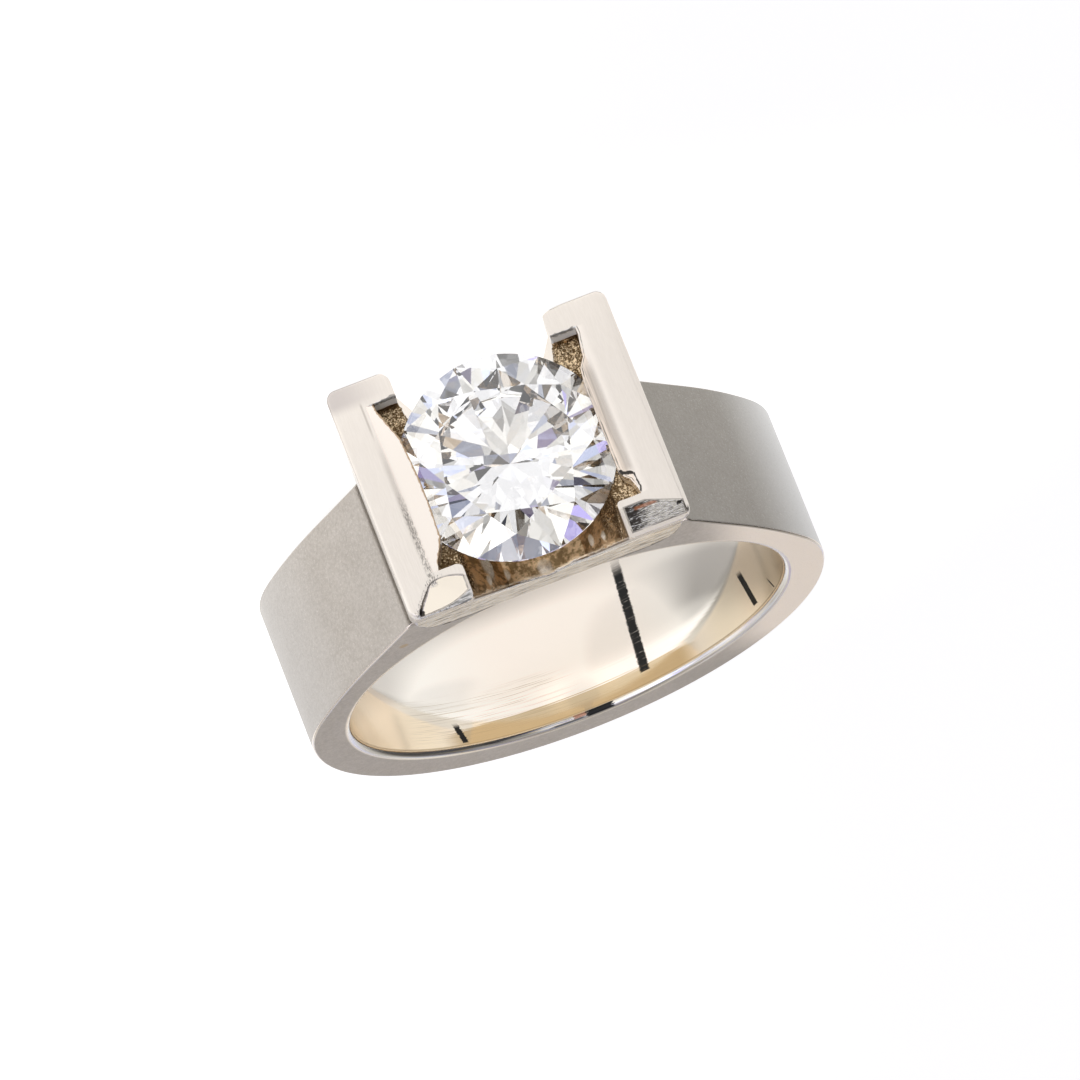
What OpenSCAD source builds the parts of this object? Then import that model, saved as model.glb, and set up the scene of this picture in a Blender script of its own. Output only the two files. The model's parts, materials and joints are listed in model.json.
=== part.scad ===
/* [Band] */
// Inside diameter, a finger size of about US 7
finger_d = 17.3; // [16.5:0.1:18]
// Width of the band along the finger
band_w = 5.87; // [5.2:0.01:6.4]
// Radius of the rounding where the bore meets each rim
bore_edge_r = 0.25; // [0.1:0.05:0.4]
// Outside radius of the palm side
palm_r = 10.24; // [10:0.01:10.5]
// How far the palm side's centre lies beyond the bore's centre, away from the stone
palm_drop = 0.15; // [0:0.05:0.3]

/* [Shoulders] */
// Radius of the flank where the palm side turns up towards the shoulder
flank_r = 7; // [6:0.1:7.2]
// Radius of the long, nearly straight sweep up the shoulder
shoulder_r = 28.3; // [25:0.1:32]
// Lean of the shoulder's straight end, in degrees from upright
shoulder_lean = 33.4; // [33:0.1:34]

/* [Head] */
// Half the head's width where it grows out of the shoulders
head_foot_x = 5.36; // [5.3:0.01:5.4]
// Half the head's width at the top of the bars
head_top_x = 5.43; // [5.4:0.01:5.6]
// Height of the head's foot over the bore's centre
head_foot_z = 9.95; // [9.9:0.01:10]
// Height where the flared ends turn upright
flare_z = 15.2; // [15:0.05:15.3]
// Height of the bars' flat tops
bar_z = 15.58; // [15.5:0.01:15.7]
// Reach of the bars towards the wearer's fingertip
near_y = 4.55; // [4.4:0.05:4.7]
// Reach of the bars towards the wearer's hand
far_y = 4.7; // [4.6:0.05:4.8]
// Rounding of the bars' upright corners
bar_corner_r = 0.4; // [0.2:0.05:0.5]

/* [Bars and trough] */
// Half the gap between the two bars' returned ends
gap_x = 3; // [2.9:0.05:3.1]
// Inner face of the returned ends on the fingertip side
near_return_y = 3.15; // [3.1:0.05:3.3]
// Inner face of the returned ends on the hand side
far_return_y = 3.65; // [3.6:0.05:3.8]
// Height of the rough ledge inside the bars
ledge_z = 14.6; // [14.5:0.05:14.65]
// Height where the trough's walls start to close in
trough_top_z = 13.9; // [13.8:0.05:14]
// Half the width of the trough's floor
trough_floor_x = 1.55; // [1.4:0.05:1.7]
// Height of the floor's edges
trough_floor_z = 10.1; // [10:0.05:10.3]
// Height of the crease along the middle of the floor
crease_z = 9.55; // [9.45:0.05:9.7]
// Slope of the filed facets on the fingertip ends, in degrees
facet_slope = 22.7; // [18:0.1:26]

/* [Stone] */
// Diameter of the round brilliant at its girdle
stone_d = 7.92; // [7.8:0.01:8]
// Height of the girdle's middle over the bore's centre
girdle_z = 14.7; // [14.65:0.01:14.72]
// Thickness of the girdle
girdle_t = 0.1; // [0.05:0.01:0.15]
// Table diameter over girdle diameter
table_ratio = 0.64; // [0.6:0.01:0.66]
// Slope of the crown's main facets, in degrees
crown_slope = 33; // [32:0.1:35]
// Slope of the pavilion's main facets, in degrees
pavilion_slope = 40.8; // [40:0.1:41.5]
// How far the stone sits off the bars' middle, towards the hand
stone_off = 0.2; // [0:0.05:0.3]
// Turn of the facets about the stone's own axis, in degrees
stone_turn = 8.5; // [0:0.5:22.5]
// Clearance round the stone in its seat
seat_gap = 0.05; // [0.03:0.01:0.06]

/* [Hidden] */
$fn = 128;

// Cutting bodies reach this far past what they cut
past = 1;
// Longer than the ring in any direction
long = 40;

// Shoulder outline: a flank arc, a wide arc and a straight line, each tangent to the next
flank_c = [palm_r - flank_r, -palm_drop];
lean_up = [-sin(shoulder_lean), cos(shoulder_lean)];
lean_in = [-cos(shoulder_lean), -sin(shoulder_lean)];
shoulder_top = [head_foot_x, head_foot_z];
flank_depth = (flank_c - shoulder_top) * lean_in;
shoulder_slip = sqrt(pow(shoulder_r - flank_r, 2) - pow(shoulder_r - flank_depth, 2));
shoulder_c = flank_c + (shoulder_r - flank_depth) * lean_in + shoulder_slip * lean_up;
flank_way = (flank_c - shoulder_c) / norm(flank_c - shoulder_c);
flank_end = flank_c + flank_r * flank_way;
sweep_end = shoulder_c - shoulder_r * lean_in;

// Lips that hold the girdle: [place along the finger, inner edge from the middle]
lip_pos = [[-3.4, 3.86], [-2.74, 3.64], [-2.11, 3.41], [-1.2, 3.35], [-0.3, 3.3],
           [0.7, 3.3], [1.93, 3.36], [2.28, 3.49], [2.79, 3.76]];
lip_neg = [[-3.36, 3.98], [-2.5, 3.84], [-2.15, 3.6], [-1.64, 3.53], [-1.1, 3.52],
           [1.83, 3.5], [2.14, 3.54], [2.33, 3.62], [2.49, 3.79], [2.95, 3.93]];
// Each bar: [side, lip edge, ridge where the lip starts down, its narrowest reach, pocket depth]
lip_drop = 0.13;
bars = [[1, lip_pos, 4.15, 3.3, 3.88],
        [-1, lip_neg, 3.92, 3.5, 3.97]];
// Outlines of the filed facets, seen from above: [from the middle, along the finger]
facet_pos = [[2.5, 3.45], [4.3, 3.45], [5.1, 4.6], [5.1, 5.6], [2.5, 5.6]];
facet_neg = [[2.5, 3.45], [3.1, 3.45], [4.1, 3.5], [5.25, 4.15], [5.3, 5.6], [2.5, 5.6]];
facet_start_y = 3.45;

// Stone outline
stone_r = stone_d / 2;
table_r = stone_r * table_ratio;
crown_z0 = girdle_z + girdle_t / 2;
pavilion_z0 = girdle_z - girdle_t / 2;
table_z = crown_z0 + (stone_r - table_r) * tan(crown_slope);
culet_z = pavilion_z0 - stone_r * tan(pavilion_slope);
// Where the star tips lie between table and girdle, and the lower tips between culet and girdle
star_share = 0.45;
lower_share = 0.23;
// The brilliant has eight kites, so the tips between them stand half of 45 degrees off
half_turn = 22.5;
star_r = table_r + star_share * (stone_r - table_r);
star_z = crown_z0 + (stone_r - star_r * cos(half_turn)) * tan(crown_slope);
// The upper halves rise more steeply than the kites, and they are what the lips clear
upper_slope = atan((star_z - crown_z0) / (stone_r - star_r));

// The ring lies on the hand side: its bars' ends and its palm rim touch what it rests on
rest_tilt = atan((far_y - band_w / 2) / (flare_z + palm_r + palm_drop));
lift = far_y * cos(rest_tilt) - flare_z * sin(rest_tilt);
front_reach = max(table_z * cos(rest_tilt) + (stone_off + table_r * cos(stone_turn)) * sin(rest_tilt),
                  bar_z * cos(rest_tilt) + far_y * sin(rest_tilt));
back_reach = (palm_r + palm_drop) * cos(rest_tilt) + band_w / 2 * sin(rest_tilt);
shift_y = (front_reach - back_reach) / 2;

// Stone up and finger along Y becomes stone forward and finger nearly upright
module laid() {
    translate([0, shift_y, lift])
        rotate([90 - rest_tilt, 0, 0])
            children();
}

// An outline seen along the finger, made as wide as asked
module across(width) {
    rotate([90, 0, 0])
        linear_extrude(height = width, center = true)
            children();
}

// An outline seen from the side of the ring
module sideways(width) {
    rotate([90, 0, 90])
        linear_extrude(height = width, center = true)
            children();
}

// The half of the outline on one side of the middle, from the palm's widest point up
module shoulder_outline() {
    outward = 1.1;
    inward = 0.75;
    low = shoulder_c + outward * (flank_end - shoulder_c);
    high = shoulder_c + outward * (sweep_end - shoulder_c);
    low_in = shoulder_c + inward * (flank_end - shoulder_c);
    high_in = shoulder_c + inward * (sweep_end - shoulder_c);
    translate(flank_c)
        circle(r = flank_r);
    intersection() {
        translate(shoulder_c)
            circle(r = shoulder_r);
        polygon([low_in, low, high, high_in]);
    }
    polygon([[0, 0], flank_c, flank_end, sweep_end, shoulder_top, [0, head_foot_z]]);
}

// The band with its shoulders, before the bore
module band_blank() {
    across(band_w) {
        translate([0, -palm_drop])
            intersection() {
                circle(r = palm_r);
                translate([-long, -long])
                    square([2 * long, long]);
            }
        shoulder_outline();
        mirror([1, 0])
            shoulder_outline();
        translate([-flank_c[0], -palm_drop - past])
            square([2 * flank_c[0], 2 * past]);
    }
}

// Rectangle with round corners, seen from above
module round_plan(x, y_low, y_high, r) {
    translate([-x, y_low + r])
        square([2 * x, y_high - y_low - 2 * r]);
    translate([-x + r, y_low])
        square([2 * x - 2 * r, y_high - y_low]);
    for (cx = [-x + r, x - r], cy = [y_low + r, y_high - r])
        translate([cx, cy])
            circle(r = r);
}

// The flared block that the trough, the seat and the lips are cut from
module head_blank() {
    intersection() {
        across(long)
            polygon([[head_foot_x, head_foot_z], [head_top_x, bar_z],
                     [-head_top_x, bar_z], [-head_foot_x, head_foot_z]]);
        sideways(long)
            polygon([[band_w / 2, head_foot_z], [near_y, flare_z], [near_y, bar_z],
                     [-far_y, bar_z], [-far_y, flare_z], [-band_w / 2, head_foot_z]]);
        translate([0, 0, head_foot_z])
            linear_extrude(height = long)
                round_plan(head_top_x, -far_y, near_y, bar_corner_r);
    }
}

// The open trough that runs under the stone from rim to rim
module trough_cut() {
    across(long)
        polygon([[0, crease_z], [trough_floor_x, trough_floor_z], [gap_x, trough_top_z],
                 [gap_x, bar_z + past], [-gap_x, bar_z + past],
                 [-gap_x, trough_top_z], [-trough_floor_x, trough_floor_z]]);
}

// The space inside one bar, over its ledge, with the lip left standing
module window_cut(side, lip, pocket_x) {
    inner = gap_x - past / 2;
    edge = [for (row = lip) [side * row[1], row[0]]];
    translate([0, 0, ledge_z])
        linear_extrude(height = 2 * past)
            polygon(concat([[side * inner, -far_return_y], [side * pocket_x, -far_return_y]],
                           edge,
                           [[side * pocket_x, near_return_y], [side * inner, near_return_y]]));
}

// What the slope of one lip takes off the bar's inner top edge
module lip_slope_cut(side, ridge_x, lip_x) {
    fall = lip_drop / (ridge_x - lip_x);
    inner = gap_x - past / 2;
    translate([0, (near_return_y - far_return_y) / 2, 0])
        across(near_return_y + far_return_y)
            polygon([[side * ridge_x, bar_z],
                     [side * inner, bar_z - (ridge_x - inner) * fall],
                     [side * inner, bar_z + past],
                     [side * ridge_x, bar_z + past]]);
}

// The facet filed on one bar's fingertip end
module facet_cut(outline, side) {
    intersection() {
        linear_extrude(height = long)
            polygon([for (p = outline) [side * p[0], p[1]]]);
        translate([0, facet_start_y, bar_z])
            rotate([-facet_slope, 0, 0])
                translate([-long / 2, -past, 0])
                    cube([long, 4 * past, 4 * past]);
    }
}

// The stone's outline, turned about its axis and grown by the clearance
module seat_cut() {
    r_out = stone_r + seat_gap;
    crown_up = crown_z0 + seat_gap / cos(upper_slope);
    pavilion_down = pavilion_z0 - seat_gap / cos(pavilion_slope);
    translate([0, -stone_off, 0])
        rotate_extrude()
            polygon([[0, pavilion_down - stone_r * tan(pavilion_slope)],
                     [r_out, pavilion_down + seat_gap * tan(pavilion_slope)],
                     [r_out, crown_up - seat_gap * tan(upper_slope)],
                     [0, crown_up + stone_r * tan(upper_slope)]]);
}

// The finger hole, with a rounded edge at both rims
module bore_cut() {
    bore_r = finger_d / 2;
    rim = band_w / 2 - bore_edge_r;
    rotate([90, 0, 0]) {
        cylinder(r = bore_r, h = 2 * band_w, center = true);
        for (flip = [0, 1])
            mirror([0, 0, flip])
                rotate_extrude()
                    difference() {
                        translate([bore_r - past, rim])
                            square([past + bore_edge_r, bore_edge_r + past]);
                        translate([bore_r + bore_edge_r, rim])
                            circle(r = bore_edge_r);
                    }
    }
}

// The whole metal of the ring: band, shoulders and the open head with its two bars
module gold_mount() {
    color([0.86, 0.83, 0.79])
        laid()
            difference() {
                union() {
                    band_blank();
                    head_blank();
                }
                trough_cut();
                for (bar = bars) {
                    window_cut(bar[0], bar[1], bar[4]);
                    lip_slope_cut(bar[0], bar[2], bar[3]);
                }
                facet_cut(facet_pos, 1);
                facet_cut(facet_neg, -1);
                seat_cut();
                bore_cut();
            }
}

// A ring of points about the stone's axis
function ring(count, r, z, turn) =
    [for (k = [0 : count - 1])
        let (a = stone_turn + turn + k * 360 / count)
            [r * cos(a), r * sin(a), z]];

// Round brilliant: table, stars, kites, upper halves, girdle, lower halves, mains and culet
module brilliant() {
    lower_r = lower_share * stone_r;
    lower_z = culet_z + lower_r * cos(half_turn) * tan(pavilion_slope);
    points = concat(ring(8, table_r, table_z, 0),
                    ring(8, star_r, star_z, half_turn),
                    ring(16, stone_r, crown_z0, 0),
                    ring(16, stone_r, pavilion_z0, 0),
                    ring(8, lower_r, lower_z, half_turn),
                    [[0, 0, culet_z]]);
    table0 = 0;
    star0 = 8;
    upper0 = 16;
    under0 = 32;
    low0 = 48;
    culet = 56;
    faces = concat(
        [[for (k = [7 : -1 : 0]) table0 + k]],
        [for (k = [0 : 7]) [table0 + k, table0 + (k + 1) % 8, star0 + k]],
        [for (k = [0 : 7]) [table0 + k, star0 + k, upper0 + 2 * k, star0 + (k + 7) % 8]],
        [for (k = [0 : 7]) [star0 + k, upper0 + 2 * k + 1, upper0 + 2 * k]],
        [for (k = [0 : 7]) [star0 + k, upper0 + (2 * k + 2) % 16, upper0 + 2 * k + 1]],
        [for (k = [0 : 15]) [upper0 + k, upper0 + (k + 1) % 16, under0 + (k + 1) % 16, under0 + k]],
        [for (k = [0 : 7]) [under0 + 2 * k, under0 + 2 * k + 1, low0 + k]],
        [for (k = [0 : 7]) [under0 + 2 * k + 1, under0 + (2 * k + 2) % 16, low0 + k]],
        [for (k = [0 : 7]) [under0 + 2 * k, low0 + k, culet, low0 + (k + 7) % 8]]);
    polyhedron(points = points, faces = faces, convexity = 2);
}

// The solitaire, its table forward and its culet over the trough
module diamond() {
    color([0.93, 0.95, 0.98])
        laid()
            translate([0, -stone_off, 0])
                brilliant();
}

gold_mount();
diamond();
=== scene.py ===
"""A white gold solitaire ring, lying on its side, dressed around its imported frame.

The metal is modelled at the bench: millimetres, stone up along +Z, finger along Y, the bore's centre
at the origin. LAID then takes it to where the frame's own ring lies.
"""
import json
import math
import random
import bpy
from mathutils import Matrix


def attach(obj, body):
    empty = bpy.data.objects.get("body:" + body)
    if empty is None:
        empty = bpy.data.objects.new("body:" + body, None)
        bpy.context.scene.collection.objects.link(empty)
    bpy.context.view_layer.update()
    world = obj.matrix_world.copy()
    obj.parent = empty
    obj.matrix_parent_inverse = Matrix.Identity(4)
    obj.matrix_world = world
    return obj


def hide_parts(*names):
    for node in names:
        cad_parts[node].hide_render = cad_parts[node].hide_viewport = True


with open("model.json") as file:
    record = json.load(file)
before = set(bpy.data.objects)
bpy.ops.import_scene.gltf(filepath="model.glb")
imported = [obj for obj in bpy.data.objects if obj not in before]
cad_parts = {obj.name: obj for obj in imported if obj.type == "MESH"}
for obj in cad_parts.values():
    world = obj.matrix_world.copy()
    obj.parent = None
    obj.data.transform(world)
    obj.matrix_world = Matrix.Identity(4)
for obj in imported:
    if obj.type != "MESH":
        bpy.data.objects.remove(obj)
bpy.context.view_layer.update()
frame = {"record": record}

from types import SimpleNamespace

import bmesh
import bpy
from mathutils import Matrix, Vector, noise

MM = 0.001

# Band and shoulders
BORE_R = 8.65
HALF_W = 5.87 / 2
BORE_EDGE_R = 0.25
OUTER_EDGE_R = 0.09
PALM_R = 10.24
PALM_DROP = 0.15
FLANK_R = 7.0
SHOULDER_R = 28.3
SHOULDER_LEAN = math.radians(33.4)

# Head
FOOT_X = 5.36
TOP_X = 5.43
FOOT_Z = 9.95
FLARE_Z = 15.2
BAR_Z = 15.58
NEAR_Y = 4.55
FAR_Y = 4.7
CORNER_R = 0.4
GAP_X = 3.0
NEAR_RETURN_Y = 3.15
FAR_RETURN_Y = 3.65
LEDGE_Z = 14.6
TROUGH_TOP_Z = 13.9
TROUGH_FLOOR_X = 1.55
TROUGH_FLOOR_Z = 10.1
CREASE_Z = 9.55
FACET_SLOPE = math.radians(22.7)
FACET_Y = 3.45

# Stone
STONE_R = 3.96
GIRDLE_Z = 14.7
GIRDLE_T = 0.1
GIRDLE_CORNER_T = 0.16
ARC_STEPS = 5
TABLE_R = 0.64 * STONE_R
CROWN_SLOPE = math.radians(33)
PAVILION_SLOPE = math.radians(40.8)
STONE_OFF = 0.2
STONE_TURN = math.radians(8.5)
STAR_SHARE = 0.45
LOWER_SHARE = 0.23
SEAT_GAP = 0.05

# Places along the finger and inner edges of the two lips
LIP_POS = [(-3.4, 3.86), (-2.74, 3.64), (-2.11, 3.41), (-1.2, 3.35), (-0.3, 3.3),
           (0.7, 3.3), (1.93, 3.36), (2.28, 3.49), (2.79, 3.76)]
LIP_NEG = [(-3.36, 3.98), (-2.5, 3.84), (-2.15, 3.6), (-1.64, 3.53), (-1.1, 3.52),
           (1.83, 3.5), (2.14, 3.54), (2.33, 3.62), (2.49, 3.79), (2.95, 3.93)]
# Section of each lip's top from the ridge inward: across, height below the bar's top
LIP_TOP_POS = [(4.15, 0), (4.0, 0.05), (3.3, 0.13)]
LIP_TOP_NEG = [(3.92, 0), (3.82, 0.045), (3.5, 0.12)]
# How far across the ledges reach beside the lips' ends
POCKET_POS = 3.88
POCKET_NEG = 3.97
# What each filed facet takes in: across, along the finger
FACET_POS = [(2.5, 3.75), (3.1, 3.66), (3.3, 3.56), (3.6, 3.49), (3.9, 3.46), (4.2, 3.48),
             (4.42, 3.6), (4.78, 4.01), (5.82, 5.6), (2.5, 5.6)]
FACET_NEG = [(2.5, 3.5), (3.3, 3.46), (3.8, 3.47), (4.2, 3.54), (4.61, 3.76), (5.26, 3.97),
             (5.3, 5.6), (2.5, 5.6)]

# The cast skin left in the gallery: its mesh's step, and lumps as (x, y, z), reach, height, how
# coarse their grain is and how pale they are painted, as the light they catch
SKIN_STEP = 0.045
SKIN_LIFT = 0.05
LUMPS = [((2.15, 2.42, 11.7), 0.5, 0.2, 1, 1), ((2.27, 3.06, 12.0), 0.18, 0.12, 0, 1),
         ((1.55, 2.5, 10.1), 0.2, 0.15, 0, 1), ((0.05, 2.6, 9.6), 0.3, 0.3, 0, 1),
         ((-1.9, 2.7, 11.0), 0.22, 0.07, 0, 1), ((-2.6, 2.6, 13.0), 0.62, 0.06, 1, 0),
         ((-2.35, 3.08, 12.2), 0.17, 0.14, 0, 1)]

bore_mount = frame["record"]["mounts"][0]
TILT = math.atan2(bore_mount["axis"][1], bore_mount["axis"][2])
LAID = (Matrix.Translation(bore_mount["pos_m"]) @ Matrix.Rotation(math.pi / 2 - TILT, 4, "X")
        @ Matrix.Scale(MM, 4))


def new_object(name, points, faces):
    mesh = bpy.data.meshes.new(name)
    mesh.from_pydata([tuple(p) for p in points], [], faces)
    mesh.update()
    obj = bpy.data.objects.new(name, mesh)
    bpy.context.scene.collection.objects.link(obj)
    return obj


def loft(name, rings, closed=False):
    """A solid through rings of equally many points, capped at both ends unless it closes on itself."""
    n = len(rings[0])
    m = len(rings)
    faces = []
    for k in range(m if closed else m - 1):
        a, b = k * n, (k + 1) % m * n
        faces += [(a + i, a + (i + 1) % n, b + (i + 1) % n, b + i) for i in range(n)]
    if not closed:
        faces += [tuple(reversed(range(n))), tuple((m - 1) * n + i for i in range(n))]
    return outward(new_object(name, [p for ring in rings for p in ring], faces))


def outward(obj):
    """The object of a closed mesh, with every face turned outward."""
    shape = bmesh.new()
    shape.from_mesh(obj.data)
    bmesh.ops.recalc_face_normals(shape, faces=shape.faces)
    shape.to_mesh(obj.data)
    shape.free()
    return obj


def prism(name, outline, low, high, axis):
    """An outline pushed from low to high along an axis: (x, z) along Y, or (x, y) along Z."""
    return loft(name, [[(a, at, b) if axis == "Y" else (a, b, at) for a, b in outline]
                       for at in (low, high)])


def revolve(name, outline, centre, steps):
    """An open (radius, z) outline turned about an upright axis, from the axis back to the axis."""
    n = len(outline) - 2
    points = [(centre[0], centre[1], outline[0][1]), (centre[0], centre[1], outline[-1][1])]
    for k in range(steps):
        a = 2 * math.pi * k / steps
        points += [(centre[0] + r * math.cos(a), centre[1] + r * math.sin(a), z)
                   for r, z in outline[1:-1]]
    faces = []
    for k in range(steps):
        a, b = 2 + k * n, 2 + (k + 1) % steps * n
        faces += [(0, b, a), (1, a + n - 1, b + n - 1)]
        faces += [(a + i, b + i, b + i + 1, a + i + 1) for i in range(n - 1)]
    return outward(new_object(name, points, faces))


def weld(obj, gap):
    shape = bmesh.new()
    shape.from_mesh(obj.data)
    bmesh.ops.remove_doubles(shape, verts=shape.verts, dist=gap)
    bmesh.ops.dissolve_degenerate(shape, edges=shape.edges, dist=gap)
    bmesh.ops.dissolve_limit(shape, angle_limit=math.radians(0.3), verts=shape.verts, edges=shape.edges)
    shape.to_mesh(obj.data)
    shape.free()


def settle(obj):
    """Applies an object's modifiers to its mesh."""
    bpy.context.view_layer.update()
    shaped = obj.evaluated_get(bpy.context.evaluated_depsgraph_get())
    mesh = bpy.data.meshes.new_from_object(shaped)
    old = obj.data
    obj.modifiers.clear()
    obj.data = mesh
    bpy.data.meshes.remove(old)


def carve(body, cutters):
    """Takes each cutter out of the body."""
    for cutter in cutters:
        cut = body.modifiers.new("cut", "BOOLEAN")
        cut.operation = "DIFFERENCE"
        cut.solver = "EXACT"
        cut.object = cutter
    settle(body)
    for cutter in cutters:
        mesh = cutter.data
        bpy.data.objects.remove(cutter)
        bpy.data.meshes.remove(mesh)


def soften(obj, width, segments, least_turn, share):
    """Rounds the outer edges that turn by more than least_turn, each by its share of the width, and
    shades the flats flat."""
    shape = bmesh.new()
    shape.from_mesh(obj.data)
    weights = shape.edges.layers.float.new("bevel_weight_edge")
    for edge in shape.edges:
        given = share((edge.verts[0].co + edge.verts[1].co) / 2)
        if given and len(edge.link_faces) == 2 and edge.calc_face_angle_signed() > least_turn:
            edge[weights] = given
        else:
            edge.smooth = edge.is_boundary or edge.calc_face_angle() < math.radians(1.5)
    for face in shape.faces:
        face.smooth = True
    shape.to_mesh(obj.data)
    shape.free()
    bevel = obj.modifiers.new("edges", "BEVEL")
    bevel.limit_method = "WEIGHT"
    bevel.width = width
    bevel.segments = segments
    bevel.use_clamp_overlap = False
    shade = obj.modifiers.new("shade", "WEIGHTED_NORMAL")
    shade.weight = 60
    shade.keep_sharp = True
    settle(obj)


def lay(obj):
    """Takes a piece from the bench to where the ring lies."""
    obj.data.transform(LAID)
    obj.data.update()


def shoulder_arcs():
    """Centres and joints of the flank arc, the shoulder arc and the straight line, right-hand side."""
    flank_c = Vector((PALM_R - FLANK_R, -PALM_DROP))
    up = Vector((-math.sin(SHOULDER_LEAN), math.cos(SHOULDER_LEAN)))
    inward = Vector((-math.cos(SHOULDER_LEAN), -math.sin(SHOULDER_LEAN)))
    top = Vector((FOOT_X, FOOT_Z))
    depth = (flank_c - top).dot(inward)
    slip = math.sqrt((SHOULDER_R - FLANK_R) ** 2 - (SHOULDER_R - depth) ** 2)
    shoulder_c = flank_c + (SHOULDER_R - depth) * inward + slip * up
    flank_end = flank_c + FLANK_R * (flank_c - shoulder_c).normalized()
    sweep_end = shoulder_c - SHOULDER_R * inward
    return flank_c, flank_end, shoulder_c, sweep_end, top


def arc(centre, start, end, steps):
    """Points on a round from start to end, short way, without the end."""
    a = math.atan2(*reversed(start - centre))
    b = math.atan2(*reversed(end - centre))
    r = (start - centre).length
    turn = (b - a + math.pi) % (2 * math.pi) - math.pi
    return [centre + r * Vector((math.cos(a + turn * k / steps), math.sin(a + turn * k / steps)))
            for k in range(steps)]


def band_outline():
    """The ring's outline seen along the finger, from the palm's lowest point up one side and down the
    other, with a flat stretch under the head."""
    flank_c, flank_end, shoulder_c, sweep_end, top = shoulder_arcs()
    palm_c = Vector((0, -PALM_DROP))
    low = Vector((0, -PALM_R - PALM_DROP))
    side = Vector((PALM_R, -PALM_DROP))
    half = arc(palm_c, low, side, 80)
    half += arc(flank_c, side, flank_end, 22)
    half += arc(shoulder_c, flank_end, sweep_end, 14)
    half += [sweep_end.lerp(top, k / 8) for k in range(8)]
    half += [top, Vector((4.9, 9.5)), Vector((4.2, 9.35)), Vector((2.6, 9.3)), Vector((1.3, 9.3))]
    other = [Vector((-p.x, p.y)) for p in reversed(half[1:])]
    return half + [Vector((0, 9.3))] + other


def band_section(out, normal):
    """One section of the band: the bore side, both rounded inner edges, the rims and the outside."""
    way = out.normalized()
    section = []
    for k in range(9):
        a = math.pi / 2 * k / 8
        section.append((way * (BORE_R + BORE_EDGE_R * (1 - math.cos(a))),
                        HALF_W - BORE_EDGE_R * (1 - math.sin(a))))
    for k in range(5):
        a = math.pi / 2 * k / 4
        section.append((out - normal * OUTER_EDGE_R * (1 - math.sin(a)),
                        HALF_W - OUTER_EDGE_R * (1 - math.cos(a))))
    return section


def ring_band():
    """The swept band: a smooth bore, rims and shoulders, running on under the head."""
    outline = band_outline()
    n = len(outline)
    rings = []
    for i, out in enumerate(outline):
        ahead = outline[(i + 1) % n] - outline[i - 1]
        normal = Vector((ahead.y, -ahead.x)).normalized()
        side = band_section(out, normal)
        ring = [(p.x, y, p.y) for p, y in side]
        ring += [(p.x, -y, p.y) for p, y in reversed(side)]
        rings.append(ring)
    obj = loft("ring_band", rings, closed=True)
    obj.data.shade_smooth()
    shade = obj.modifiers.new("shade", "WEIGHTED_NORMAL")
    shade.weight = 60
    settle(obj)
    return obj


def rounded_ring(half_x, low_y, high_y, r, z, steps=8):
    """A rectangle with round corners, at one height."""
    ring = []
    corners = [(half_x - r, high_y - r, 0), (-half_x + r, high_y - r, 90),
               (-half_x + r, low_y + r, 180), (half_x - r, low_y + r, 270)]
    for cx, cy, start in corners:
        for k in range(steps + 1):
            a = math.radians(start + 90 * k / steps)
            ring.append((cx + r * math.cos(a), cy + r * math.sin(a), z))
    return ring


def head_body():
    """The flared block of the head, its upright corners, top edge and soldered foot already rounded."""
    proud = 0.008
    half_w = HALF_W + proud
    rim = 0.12
    foot = [(8.62, 4.0), (8.68, 4.4), (8.8, 4.68), (9.0, 4.92), (9.3, 5.1), (9.6, 5.24)]
    rings = [rounded_ring(half_x, -half_w, half_w, 0.1, z) for z, half_x in foot]
    rings += [rounded_ring(FOOT_X, -half_w, half_w, 0.22, FOOT_Z),
              rounded_ring(TOP_X, -FAR_Y, NEAR_Y, CORNER_R, FLARE_Z),
              rounded_ring(TOP_X, -FAR_Y, NEAR_Y, CORNER_R, BAR_Z - rim)]
    for k in range(1, 6):
        a = math.pi / 2 * k / 5
        inset = rim * (1 - math.cos(a))
        rings.append(rounded_ring(TOP_X - inset, -FAR_Y + inset, NEAR_Y - inset, CORNER_R - inset,
                                  BAR_Z - rim * (1 - math.sin(a))))
    return loft("ring_head", rings)


def trough_cutter():
    past = 1
    outline = [(0, CREASE_Z), (TROUGH_FLOOR_X, TROUGH_FLOOR_Z), (GAP_X, TROUGH_TOP_Z),
               (GAP_X, BAR_Z + past), (-GAP_X, BAR_Z + past),
               (-GAP_X, TROUGH_TOP_Z), (-TROUGH_FLOOR_X, TROUGH_FLOOR_Z)]
    return prism("trough_cutter", outline, -8, 8, "Y")


def wavered(outline, step, amount, seed):
    """The outline with its long sides split and nudged, as a hand-cut edge wanders."""
    pick = random.Random(seed)
    points = []
    for i, a in enumerate(outline):
        b = outline[(i + 1) % len(outline)]
        a, b = Vector(a), Vector(b)
        count = max(1, round((b - a).length / step))
        for k in range(count):
            p = a.lerp(b, k / count)
            if k:
                p += Vector((pick.uniform(-amount, amount), pick.uniform(-amount, amount)))
            points.append((p.x, p.y))
    return points


def window_cutter(side, lip, pocket_x, seed):
    """The space over one bar's ledge, with the lip left standing."""
    inner = GAP_X - 0.5
    outline = [(side * inner, -FAR_RETURN_Y), (side * pocket_x, -FAR_RETURN_Y)]
    outline += [(side * x, y) for y, x in lip]
    outline += [(side * pocket_x, NEAR_RETURN_Y), (side * inner, NEAR_RETURN_Y)]
    return prism("window_cutter", wavered(outline, 0.3, 0.012, seed), LEDGE_Z, BAR_Z + 1, "Z")


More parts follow.
